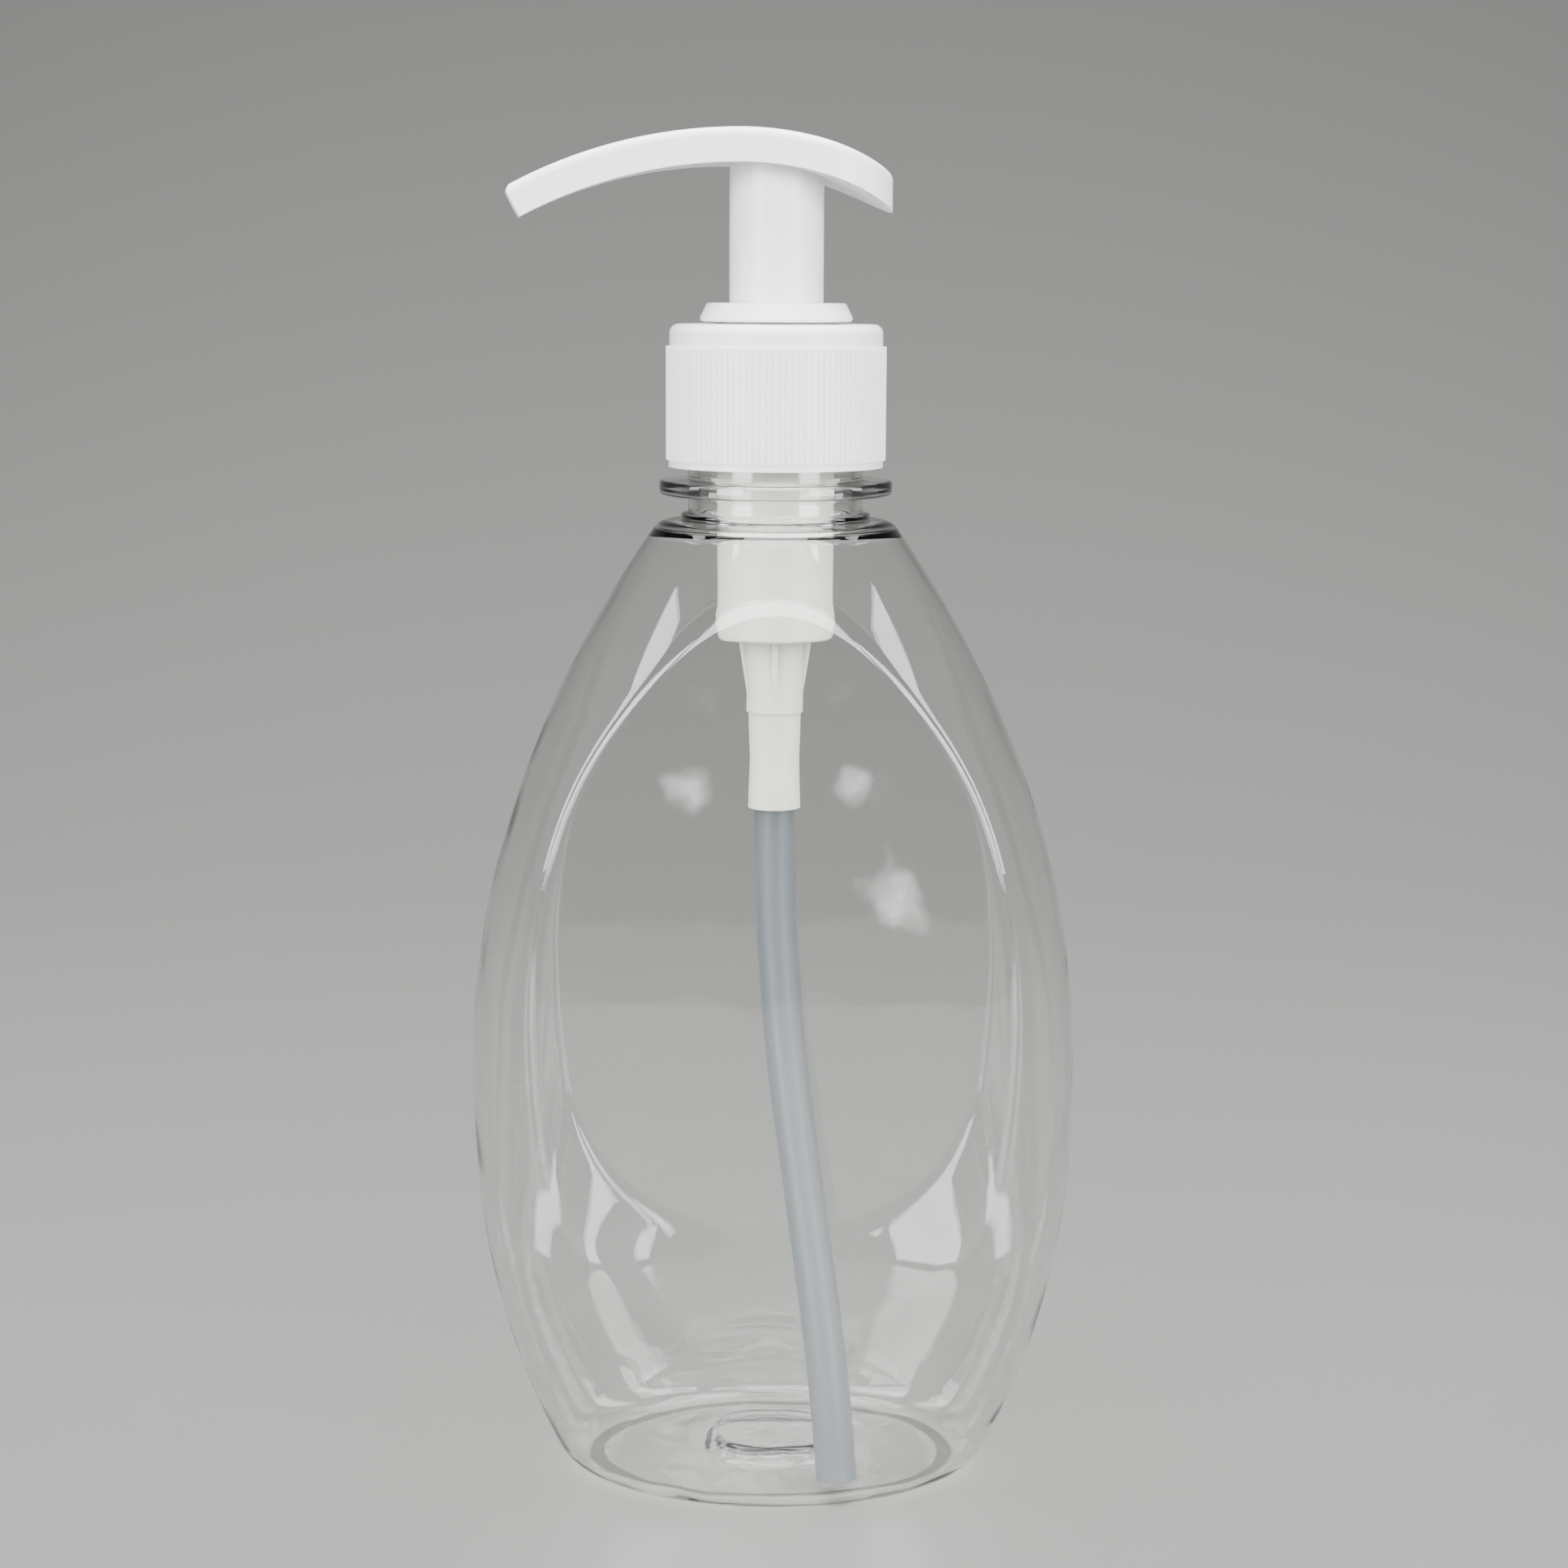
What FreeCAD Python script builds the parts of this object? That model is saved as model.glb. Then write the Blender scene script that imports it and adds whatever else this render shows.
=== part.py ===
"""Soap pump dispenser: clear oval bottle with a screw-on lotion pump.

Origin at the centre of the base, +Z up, +X along the width of the bottle.
The two flat panels face -Y and +Y, and the spout points towards -X.
"""
import FreeCAD, Part
import math
import os
import re

import Sketcher

# --------------------------------------------------------------------------
# Driving sizes, millimetres and degrees
# --------------------------------------------------------------------------
SIZES = {
    # bottle body
    "body_width": 87.4,
    "body_height": 139.6,
    "panel_depth": 47.0,
    "base_width": 60.4,
    "shoulder_width": 33.0,
    "bottle_wall": 0.7,
    "base_wall": 0.9,
    "heel_radius": 3.0,
    "push_up": 1.2,
    "standing_rim": 4.6,
    # bottle neck
    "neck_height": 23.2,
    "neck_diameter": 24.8,
    "neck_bore": 21.7,
    "neck_root": 26.7,
    "ring_diameter": 33.0,
    "ring_rise": 3.6,
    "ring_thickness": 2.0,
    # screw thread shared by the neck and the closure
    "thread_pitch": 4.233,
    "thread_turns": 1.5,
    "thread_depth": 1.25,
    "thread_width": 2.0,
    "thread_crest": 1.2,
    "thread_drop": 9.4,
    "thread_gap": 0.3,
    # closure
    "closure_height": 19.9,
    "closure_wall": 1.2,
    "closure_roof": 1.7,
    "closure_round": 1.3,
    "rib_count": 108,
    "rib_depth": 0.35,
    "rib_bottom_band": 1.0,
    "rib_top_band": 3.1,
    # gasket and pump housing
    "gasket_thickness": 1.0,
    "flange_diameter": 24.4,
    "flange_thickness": 1.4,
    "cup_wall": 1.1,
    "barrel_bore": 14.7,
    "barrel_wall": 0.9,
    "barrel_length": 41.0,
    "barrel_floor": 1.5,
    "tail_wall": 1.15,
    "tail_length": 24.5,
    "tail_step": 10.6,
    "tail_end_wall": 0.85,
    "tail_waist": 0.2,
    "fin_reach": 1.2,
    "fin_length": 7.8,
    "fin_thickness": 0.8,
    "fin_count": 4,
    # inlet valve
    "ball_diameter": 4.8,
    "ball_lift": 1.5,
    "seat_bore": 3.6,
    "seat_thickness": 1.5,
    # collar
    "collar_height": 2.6,
    "collar_bottom_diameter": 22.0,
    "collar_top_diameter": 19.5,
    "collar_round": 0.5,
    "collar_gap": 0.3,
    "collar_wall": 1.3,
    "collar_floor": 1.2,
    # stem, rod, piston and spring
    "press_travel": 14.0,
    "stem_diameter": 7.0,
    "stem_bore": 4.6,
    "rod_reach": 7.0,
    "rod_duct": 2.6,
    "rod_port": 1.4,
    "rod_flange": 1.3,
    "piston_height": 3.2,
    "piston_lag": 1.0,
    "piston_lip": 0.7,
    "spring_diameter": 10.0,
    "spring_wire": 0.8,
    "spring_turns": 6.0,
    # dip tube
    "tube_diameter": 5.8,
    "tube_wall": 0.7,
    "tube_grip": 12.7,
    "tube_foot_gap": 2.33,
    "tube_bend": 153.0,
    "tube_run": 24.0,
    "tube_lean": 17.0,
    "tube_end_lean": 7.0,
    "tube_heading": -61.5,
    # actuator head
    "skirt_diameter": 13.2,
    "skirt_wall": 1.0,
    "skirt_sink": 1.7,
    "socket_wall": 1.2,
    "socket_depth": 10.0,
    "head_rise": 23.7,
    "head_thickness": 4.7,
    "head_apex": -5.9,
    "head_turn": 6.5,
    "spout_reach": 38.0,
    "spout_width": 7.6,
    "spout_top_radius": 67.0,
    "spout_under_radius": 64.0,
    "tail_top_radius": 42.0,
    "tail_under_radius": 41.0,
    "palm_radius": 10.7,
    "palm_centre": 5.5,
    "head_round": 1.1,
    "channel_diameter": 2.8,
    # clearances
    "slide_gap": 0.3,
    "running_gap": 0.05,
    "turning_gap": 0.1,
    "stop_gap": 1.0,
}

# Heights and radii that follow from the sizes above
LEVELS = {
    "body_top": "body_height",
    "ring_low": "body_top + ring_rise",
    "neck_top": "body_top + neck_height",
    "flange_low": "neck_top + gasket_thickness",
    "flange_top": "flange_low + flange_thickness",
    "roof_low": "flange_top + turning_gap",
    "closure_top": "roof_low + closure_roof",
    "closure_low": "closure_top - closure_height",
    "closure_bore": "neck_diameter / 2 + thread_depth + thread_gap",
    "closure_radius": "closure_bore + closure_wall",
    "rib_low": "closure_low + rib_bottom_band",
    "rib_top": "closure_top - rib_top_band",
    "collar_low": "closure_top + collar_gap",
    "collar_top": "collar_low + collar_height",
    "collar_bore": "skirt_diameter / 2 + slide_gap",
    "cup_radius": "collar_bore + collar_wall",
    "collar_waist": "cup_radius + 0.4",
    "closure_hole": "collar_waist + slide_gap",
    "skirt_low": "collar_top - skirt_sink",
    "floor_top": "skirt_low - press_travel - stop_gap",
    "floor_low": "floor_top - collar_floor",
    "piston_top": "floor_low - 2 * stop_gap",
    "stem_low": "piston_top + piston_lag",
    "flange_seat": "piston_top - piston_height",
    "spring_top": "flange_seat - rod_flange",
    "lip_root": "max(barrel_bore / 2 - 2 * piston_lip; spring_diameter / 2 + slide_gap)",
    "barrel_low": "flange_low - barrel_length",
    "spring_low": "barrel_low + barrel_floor",
    "spring_start": "spring_low + spring_wire / 2 + running_gap",
    "spring_rise": "spring_top - spring_low - spring_wire - 2 * running_gap",
    "tail_radius": "tube_diameter / 2 + tail_wall",
    "tail_end_radius": "tube_diameter / 2 + tail_end_wall",
    "tail_low": "barrel_low - tail_length",
    "step_level": "barrel_low - tail_step",
    "tube_top": "tail_low + tube_grip",
    "tube_foot": "base_wall + tube_foot_gap",
    "tube_bends_drop": "tube_bend * (2 * sin(tube_lean) - sin(tube_end_lean))",
    "tube_straight": "tube_top - tube_foot - tube_bends_drop - tube_run * cos(tube_lean)",
    "seat_level": "tube_top + seat_thickness",
    "ball_gap": "ball_diameter / 2 + 2 * running_gap",
    "ball_centre": "seat_level + (ball_diameter ^ 2 - seat_bore ^ 2) ^ 0.5 / 2 + running_gap",
    "cage_level": "ball_centre + ball_diameter / 2 + ball_lift + turning_gap",
    "head_top": "collar_top + head_rise",
    "head_under": "head_top - head_thickness",
    "socket_top": "head_under - 3.9",
    "socket_low": "socket_top - socket_depth",
    "spout_top_level": "head_top - spout_top_radius"
                       " + (spout_top_radius ^ 2 - (spout_reach + head_apex) ^ 2) ^ 0.5",
    "spout_cut": "spout_reach - 0.45 * head_thickness",
    "spout_under_level": "head_under - spout_under_radius"
                         " + (spout_under_radius ^ 2 - (spout_cut + head_apex) ^ 2) ^ 0.5",
    "palm_end": "palm_centre + palm_radius",
    "tail_top_level": "head_top - tail_top_radius"
                      " + (tail_top_radius ^ 2 - (palm_end - head_apex) ^ 2) ^ 0.5",
    "tail_under_level": "head_under - tail_under_radius"
                        " + (tail_under_radius ^ 2 - (palm_end - head_apex) ^ 2) ^ 0.5",
    "channel_radius": "(spout_top_radius + spout_under_radius) / 2",
    "channel_centre": "head_top - head_thickness / 2 - channel_radius",
}

# Outline of the bottle body. Its half width swells from the base to the widest
# level, then closes to the shoulder, each by one power curve.
WIDEST_SHARE = 0.43
LOWER_POWER = 2.5
UPPER_POWER = 2.05

# Levels of the oval cross-sections, as shares of the body's height, each with
# the half depth of the uncut body as a share of the panel's half depth. None
# marks the round sections near the shoulder.
SECTIONS = (
    (0.0, 0.945),
    (0.09, 0.975),
    (0.15, 0.99),
    (0.19, 1.035),
    (0.24, 1.19),
    (0.32, 1.40),
    (0.43, 1.53),
    (0.56, 1.63),
    (0.66, 1.66),
    (0.75, 1.56),
    (0.84, None),
    (0.92, None),
    (1.0, None),
)

# Points that the smooth circle behind each oval section passes through
CIRCLE_POINTS = 16

NODES = (
    "bottle", "closure", "collar", "neck_gasket", "pump_housing", "dip_tube",
    "inlet_ball", "return_spring", "piston_seal", "stem", "piston_rod", "actuator_head",
)

doc = FreeCAD.newDocument("soap_pump_dispenser")

sheet = doc.addObject("Spreadsheet::Sheet", "Sizes")
for row, (name, size) in enumerate(SIZES.items(), start=1):
    sheet.set(f"A{row}", name)
    sheet.set(f"B{row}", str(size))
    sheet.setAlias(f"B{row}", name)
doc.recompute()

levels = doc.addObject("App::VarSet", "Levels")


def bound(text):
    """Return the expression with each size and level prefixed by its holder."""
    def prefix(match):
        word = match.group()
        if word in SIZES:
            return "Sizes." + word
        if word in LEVELS:
            return "Levels." + word
        return word
    return re.sub(r"[a-z_]+", prefix, text)


for name, text in LEVELS.items():
    levels.addProperty("App::PropertyFloat", name)
    levels.setExpression(name, bound(text))
    doc.recompute()


def value(text):
    """Return the number that an expression of sizes and levels gives now."""
    return float(sheet.evalExpression(bound(text)))


def bind(item, **properties):
    """Bind properties of a document object to expressions."""
    for prop, text in properties.items():
        item.setExpression(prop, bound(text))


def place(item, across="0", along="0", up="0"):
    """Bind the three coordinates of an object's placement."""
    item.setExpression("Placement.Base.x", bound(across))
    item.setExpression("Placement.Base.y", bound(along))
    item.setExpression("Placement.Base.z", bound(up))


# --------------------------------------------------------------------------
# Sketches
# --------------------------------------------------------------------------
def origin_plane(body, role):
    """Return one of a body's own origin planes."""
    return next(item for item in body.Origin.OriginFeatures if item.Role == role)


def arc_between(first, last, radius):
    """Return the short arc from first to last, and whether it runs anticlockwise.

    A positive radius bends to the left of the direction of travel.
    """
    chord = last - first
    middle = (first + last) * 0.5
    left = FreeCAD.Vector(-chord.y, chord.x, 0).normalize()
    rise = math.sqrt(max(radius ** 2 - (chord.Length / 2) ** 2, 0.0))
    centre = middle + left * math.copysign(rise, radius)
    start, end = (first, last) if radius > 0 else (last, first)
    angles = [math.atan2(p.y - centre.y, p.x - centre.x) for p in (start, end)]
    if angles[1] < angles[0]:
        angles[1] += 2 * math.pi
    circle = Part.Circle(centre, FreeCAD.Vector(0, 0, 1), abs(radius))
    return Part.ArcOfCircle(circle, *angles), radius > 0


def draw_outline(sketch, corners):
    """Draw a closed outline whose corners are pairs of expressions.

    A third expression gives the signed radius of the arc that leaves a corner.
    """
    points = [FreeCAD.Vector(value(c[0]), value(c[1]), 0) for c in corners]
    ends = []
    for index, corner in enumerate(corners):
        first, last = points[index], points[(index + 1) % len(points)]
        if len(corner) == 3:
            edge, forward = arc_between(first, last, value(corner[2]))
            ends.append((1, 2) if forward else (2, 1))
        else:
            edge = Part.LineSegment(first, last)
            ends.append((1, 2))
        sketch.addGeometry(edge, False)
    for index, corner in enumerate(corners):
        following = (index + 1) % len(corners)
        sketch.addConstraint(Sketcher.Constraint(
            "Coincident", index, ends[index][1], following, ends[following][0]))
        tie_corner(sketch, index, ends[index][0], corner)
        if len(corner) == 3:
            radius = sketch.addConstraint(Sketcher.Constraint(
                "Radius", index, abs(value(corner[2]))))
            sketch.setExpression(f"Constraints[{radius}]", bound(f"abs({corner[2]})"))


def tie_corner(sketch, edge, end, corner):
    """Tie one end of an edge to its pair of expressions."""
    for kind, axis, text in (("DistanceX", -2, corner[0]), ("DistanceY", -1, corner[1])):
        if text == "0":
            sketch.addConstraint(Sketcher.Constraint("PointOnObject", edge, end, axis))
            continue
        number = sketch.addConstraint(Sketcher.Constraint(kind, -1, 1, edge, end, value(text)))
        sketch.setExpression(f"Constraints[{number}]", bound(text))


def body_sketch(body, name, role, corners):
    """Add a sketch on one of the body's own origin planes."""
    sketch = body.newObject("Sketcher::SketchObject", name)
    sketch.AttachmentSupport = [(origin_plane(body, role), "")]
    sketch.MapMode = "FlatFace"
    draw_outline(sketch, corners)
    return sketch


def turned_body(name, corners):
    """Make a body by turning an outline of radius and height about Z."""
    body = doc.addObject("PartDesign::Body", name)
    sketch = body_sketch(body, name + "_outline", "XZ_Plane", corners)
    turn = body.newObject("PartDesign::Revolution", name + "_turn")
    turn.Profile = sketch
    turn.ReferenceAxis = (sketch, ["V_Axis"])
    turn.Angle = 360.0
    doc.recompute()
    return body


def ring_edges(shape, radius, height):
    """Return the names of the circular edges of one radius at one height."""
    found = []
    for number, edge in enumerate(shape.Edges, start=1):
        if not isinstance(edge.Curve, Part.Circle):
            continue
        at_height = abs(edge.Curve.Center.z - height) < 0.01
        if at_height and abs(edge.Curve.Radius - radius) < 0.01:
            found.append(f"Edge{number}")
    return found


def round_rings(body, name, size, rings):
    """Fillet circular edges of a turned body, each given by radius and height."""
    base = body.Tip
    names = []
    for radius, height in rings:
        names += ring_edges(base.Shape, value(radius), value(height))
    fillet = body.newObject("PartDesign::Fillet", name)
    fillet.Base = (base, names)
    bind(fillet, Radius=size)
    doc.recompute()


def extruded(name, role_normal, corners, low, length):
    """Extrude an outline drawn in the XY or the XZ plane along the other axis."""
    sketch = doc.addObject("Sketcher::SketchObject", name + "_outline")
    if role_normal == "Y":
        turn = FreeCAD.Rotation(FreeCAD.Vector(1, 0, 0), 90)
        sketch.Placement = FreeCAD.Placement(FreeCAD.Vector(0, 0, 0), turn)
    draw_outline(sketch, corners)
    solid = doc.addObject("Part::Extrusion", name)
    solid.Base = sketch
    solid.DirMode = "Custom"
    solid.Dir = FreeCAD.Vector(0, 1, 0) if role_normal == "Y" else FreeCAD.Vector(0, 0, 1)
    solid.Solid = True
    bind(solid, LengthFwd=f"{low} + {length}", LengthRev=f"-({low})")
    doc.recompute()
    return solid


def combine(kind, name, base, *tools):
    """Make a Part boolean of one base with one or more tools."""
    joined = doc.addObject("Part::" + kind, name)
    if kind.startswith("Multi"):
        joined.Shapes = [base, *tools]
    else:
        joined.Base = base
        joined.Tool = tools[0] if len(tools) == 1 else combine("MultiFuse", name + "_tools", *tools)
    doc.recompute()
    return joined


def cylinder(name, radius, height, up):
    """Make an upright cylinder on the axis of the pump."""
    item = doc.addObject("Part::Cylinder", name)
    bind(item, Radius=radius, Height=height)
    place(item, up=up)
    return item


def thread_ridge(name, root, crest, low):
    """Sweep the trapezoid of the screw thread round one helix."""
    helix = doc.addObject("Part::Helix", name + "_path")
    bind(helix, Pitch="thread_pitch", Height="thread_pitch * thread_turns", Radius=root)
    place(helix, up=low)
    profile = doc.addObject("Sketcher::SketchObject", name + "_profile")
    profile.Placement.Rotation = FreeCAD.Rotation(FreeCAD.Vector(1, 0, 0), 90)
    draw_outline(profile, (
        (root, f"{low} - thread_width / 2"),
        (crest, f"{low} - thread_crest / 2"),
        (crest, f"{low} + thread_crest / 2"),
        (root, f"{low} + thread_width / 2"),
    ))
    ridge = doc.addObject("Part::Sweep", name)
    ridge.Sections = [profile]
    ridge.Spine = (helix, [])
    ridge.Solid = True
    ridge.Frenet = True
    doc.recompute()
    return ridge


# --------------------------------------------------------------------------
# Bottle
# --------------------------------------------------------------------------
def half_width(share):
    """Return the half width of the bottle body at a share of its height."""
    widest = value("body_width / 2")
    if share < WIDEST_SHARE:
        base = value("base_width / 2")
        return widest - (widest - base) * (1 - share / WIDEST_SHARE) ** LOWER_POWER
    shoulder = value("shoulder_width / 2")
    rise = (share - WIDEST_SHARE) / (1 - WIDEST_SHARE)
    return shoulder + (widest - shoulder) * (1 - rise ** UPPER_POWER)


def unit_circle():
    """Return a smooth periodic curve through points of the unit circle."""
    points = []
    for step in range(CIRCLE_POINTS):
        angle = 2 * math.pi * step / CIRCLE_POINTS
        points.append(FreeCAD.Vector(math.cos(angle), math.sin(angle), 0))
    curve = Part.BSplineCurve()
    curve.interpolate(Points=points, PeriodicFlag=True)
    return curve


def oval_solid(rings):
    """Make a solid with oval sections from (half width, half depth, height) rings.

    One smooth profile runs up through the rings, and its three coordinates
    stretch and lift the unit circle.
    """
    profile = Part.BSplineCurve()
    profile.interpolate(Points=[FreeCAD.Vector(*ring) for ring in rings])
    circle = unit_circle()
    poles = []
    for around in circle.getPoles():
        poles.append([FreeCAD.Vector(up.x * around.x, up.y * around.y, up.z)
                      for up in profile.getPoles()])
    skin = Part.BSplineSurface()
    skin.buildFromPolesMultsKnots(
        poles, circle.getMultiplicities(), profile.getMultiplicities(),
        circle.getKnots(), profile.getKnots(), True, False, circle.Degree, profile.Degree)
    side = skin.toShape()
    ends = [edge for edge in side.Edges if edge.BoundBox.ZLength < 0.001]
    shell = Part.makeShell([side] + [Part.Face(Part.Wire(edge)) for edge in ends])
    shell.sewShape()
    solid = Part.makeSolid(shell)
    if solid.Volume < 0:
        solid.reverse()
    return solid


def swelling(inset, low, high):
    """Make the uncut body between two levels, every section inset by a wall."""
    height = value("body_height")
    rings = []
    for share, bulge in SECTIONS:
        across = half_width(share)
        along = across if bulge is None else bulge * value("panel_depth / 2")
        rings.append((across - inset, along - inset, min(max(share * height, low), high)))
    return oval_solid(rings)


def bottle_body(name, inset, low, high, heel):
    """Make the body between the panels, with its heel rounded."""
    body = swelling(inset, low, high)
    half = value("panel_depth / 2") - inset
    reach = value("body_width")
    slab = Part.makeBox(2 * reach, 2 * half, 2 * value("body_height"),
                        FreeCAD.Vector(-reach, -half, -value("body_height") / 2))
    flat = body.common(slab)
    rim = [edge for edge in flat.Edges if edge.BoundBox.ZMax < low + 0.01]
    item = doc.addObject("Part::Feature", name)
    item.Shape = flat.makeFillet(heel, rim)
    return item


def make_bottle():
    """Blow-moulded bottle: flat panels, screw neck with support ring, raised base."""
    wall = value("bottle_wall")
    floor = value("base_wall")
    heel = value("heel_radius")
    height = value("body_height")
    outer = bottle_body("bottle_outside", 0.0, 0.0, height, heel)
    inner = bottle_body("bottle_inside", wall, floor, height - wall, heel - wall)
    neck = turned_body("bottle_neck", (
        ("0", "body_top - bottle_wall"),
        ("neck_root / 2", "body_top - bottle_wall"),
        ("neck_root / 2", "ring_low"),
        ("ring_diameter / 2", "ring_low"),
        ("ring_diameter / 2", "ring_low + ring_thickness"),
        ("neck_diameter / 2", "ring_low + ring_thickness"),
        ("neck_diameter / 2", "neck_top"),
        ("0", "neck_top"),
    ))
    round_rings(neck, "ring_edge_rounds", "ring_thickness / 4", (
        ("ring_diameter / 2", "ring_low"),
        ("ring_diameter / 2", "ring_low + ring_thickness"),
    ))
    thread = thread_ridge("neck_thread", "neck_diameter / 2 - 0.1",
                          "neck_diameter / 2 + thread_depth", "neck_top - thread_drop")
    bore = cylinder("neck_passage", "neck_bore / 2", "neck_height + 3 * bottle_wall",
                    "body_top - 2 * bottle_wall")
    rim = half_width(0) - value("standing_rim")
    depth = SECTIONS[0][1] * value("panel_depth / 2") - value("standing_rim")
    rise = value("push_up")
    hollows = []
    for label, level in (("push_up_outside", 0.0), ("push_up_inside", floor)):
        lens = doc.addObject("Part::Feature", label)
        lens.Shape = oval_solid((
            (rim, depth, level),
            (rim - 4 * rise, depth - 4 * rise, level + rise),
        ))
        hollows.append(lens)
    cavity = combine("Cut", "bottle_cavity", inner, hollows[1])
    solid = combine("MultiFuse", "bottle_solid", outer, neck, thread)
    return combine("Cut", "bottle", solid, cavity, bore, hollows[0])


# --------------------------------------------------------------------------
# Closure and collar
# --------------------------------------------------------------------------
def make_closure():
    """Screw cap with a ribbed grip and a hole that the collar passes through."""
    shell = turned_body("closure_shell", (
        ("closure_bore", "closure_low"),
        ("closure_radius", "closure_low"),
        ("closure_radius", "rib_top"),
        ("closure_radius - 0.15", "rib_top"),
        ("closure_radius - 0.15", "closure_top"),
        ("closure_hole", "closure_top"),
        ("closure_hole", "roof_low"),
        ("closure_bore", "roof_low"),
    ))
    round_rings(shell, "closure_shoulder", "closure_round", (
        ("closure_radius - 0.15", "closure_top"),
    ))
    count = int(round(value("rib_count")))
    root = value("closure_radius") - 0.05
    crest = value("closure_radius + rib_depth")
    pitch = 2 * math.pi / count
    corners = []
    for rib in range(count):
        for radius, share in ((root, -0.34), (crest, -0.14), (crest, 0.14), (root, 0.34)):
            angle = (rib + share) * pitch
            corners.append(FreeCAD.Vector(radius * math.cos(angle), radius * math.sin(angle), 0))
    tall = FreeCAD.Vector(0, 0, value("rib_top - rib_low"))
    core = Part.makeCylinder(value("closure_bore") + 0.4, tall.z)
    ribs = doc.addObject("Part::Feature", "closure_ribs")
    ribs.Shape = Part.Face(Part.makePolygon(corners + corners[:1])).extrude(tall).cut(core)
    place(ribs, up="rib_low")
    ridge = thread_ridge("closure_thread", "closure_bore + 0.1", "neck_diameter / 2 + thread_gap",
                         "neck_top - thread_drop - thread_pitch / 2")
    gripped = combine("Fuse", "closure_gripped", shell, ribs)
    return combine("Fuse", "closure", gripped, ridge)


def make_collar():
    """Guide cup: conical ring above the closure, sleeve and floor inside the housing."""
    collar = turned_body("collar", (
        ("stem_diameter / 2 + turning_gap", "floor_low"),
        ("cup_radius", "floor_low"),
        ("cup_radius", "flange_top"),
        ("collar_waist", "flange_top"),
        ("collar_waist", "collar_low"),
        ("collar_bottom_diameter / 2", "collar_low"),
        ("collar_top_diameter / 2", "collar_top"),
        ("collar_bore", "collar_top"),
        ("collar_bore", "floor_top"),
        ("stem_diameter / 2 + turning_gap", "floor_top"),
    ))
    round_rings(collar, "collar_rounds", "collar_round", (
        ("collar_bottom_diameter / 2", "collar_low"),
        ("collar_top_diameter / 2", "collar_top"),
    ))
    return collar


def make_gasket():
    """Flat gasket between the neck and the housing's flange."""
    return turned_body("neck_gasket", (
        ("cup_radius + cup_wall + turning_gap", "neck_top"),
        ("flange_diameter / 2", "neck_top"),
        ("flange_diameter / 2", "flange_low"),
        ("cup_radius + cup_wall + turning_gap", "flange_low"),
    ))


# --------------------------------------------------------------------------
# Pump
# --------------------------------------------------------------------------
def make_housing():
    """Pump housing: flanged cup, barrel, valve chamber and finned tail."""
    housing = turned_body("pump_housing", (
        ("cup_radius", "floor_low"),
        ("cup_radius", "flange_top"),
        ("flange_diameter / 2", "flange_top"),
        ("flange_diameter / 2", "flange_low"),
        ("cup_radius + cup_wall", "flange_low"),
        ("cup_radius + cup_wall", "floor_low - cup_wall"),
        ("barrel_bore / 2 + barrel_wall", "floor_low - 2 * cup_wall"),
        ("barrel_bore / 2 + barrel_wall", "barrel_low"),
        ("tail_radius", "barrel_low"),
        ("tail_radius", "step_level"),
        ("tail_end_radius", "step_level"),
        ("tail_end_radius - tail_waist", "(step_level + tail_low) / 2"),
        ("tail_end_radius", "tail_low"),
        ("tube_diameter / 2", "tail_low"),
        ("tube_diameter / 2", "tube_top"),
        ("seat_bore / 2", "tube_top"),
        ("seat_bore / 2", "seat_level"),
        ("ball_gap", "seat_level"),
        ("ball_gap", "cage_level"),
        ("ball_diameter / 2 - 0.2", "cage_level + 0.4"),
        ("ball_gap", "cage_level + 1.0"),
        ("ball_gap", "spring_low"),
        ("barrel_bore / 2", "spring_low"),
        ("barrel_bore / 2", "floor_low"),
    ))
    round_rings(housing, "barrel_foot_round", "barrel_wall / 2", (
        ("barrel_bore / 2 + barrel_wall", "barrel_low"),
    ))
    web = body_sketch(housing, "fin_outline", "XZ_Plane", (
        ("tail_radius - 0.3", "barrel_low + 0.3"),
        ("tail_radius - 0.3", "barrel_low - fin_length - 0.3"),
        ("tail_radius", "barrel_low - fin_length"),
        ("tail_radius + fin_reach", "barrel_low"),
        ("tail_radius + fin_reach", "barrel_low + 0.3"),
    ))
    fin = housing.newObject("PartDesign::Pad", "fin")
    fin.Profile = web
    fin.Midplane = True
    bind(fin, Length="fin_thickness")
    doc.recompute()
    fins = housing.newObject("PartDesign::PolarPattern", "fins")
    fins.Originals = [fin]
    fins.Axis = (origin_plane(housing, "Z_Axis"), [""])
    fins.Angle = 360.0
    bind(fins, Occurrences="fin_count")
    housing.Tip = fins
    doc.recompute()
    return housing


def make_ball():
    """Inlet valve ball, resting on its seat."""
    ball = doc.addObject("Part::Sphere", "inlet_ball")
    bind(ball, Radius="ball_diameter / 2")
    place(ball, up="ball_centre")
    return ball


def make_spring():
    """Return spring between the barrel's floor and the rod's flange."""
    coil = doc.addObject("Part::Helix", "spring_path")
    bind(coil, Height="spring_rise", Pitch="spring_rise / spring_turns",
         Radius="(spring_diameter - spring_wire) / 2")
    place(coil, up="spring_start")
    section = doc.addObject("Part::RegularPolygon", "spring_section")
    section.Polygon = 8
    bind(section, Circumradius="spring_wire / 2")
    section.Placement.Rotation = FreeCAD.Rotation(FreeCAD.Vector(1, 0, 0), 90)
    place(section, across="(spring_diameter - spring_wire) / 2", up="spring_start")
    spring = doc.addObject("Part::Sweep", "return_spring")
    spring.Sections = [section]
    spring.Spine = (coil, [])
    spring.Solid = True
    spring.Frenet = True
    doc.recompute()
    return spring


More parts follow.
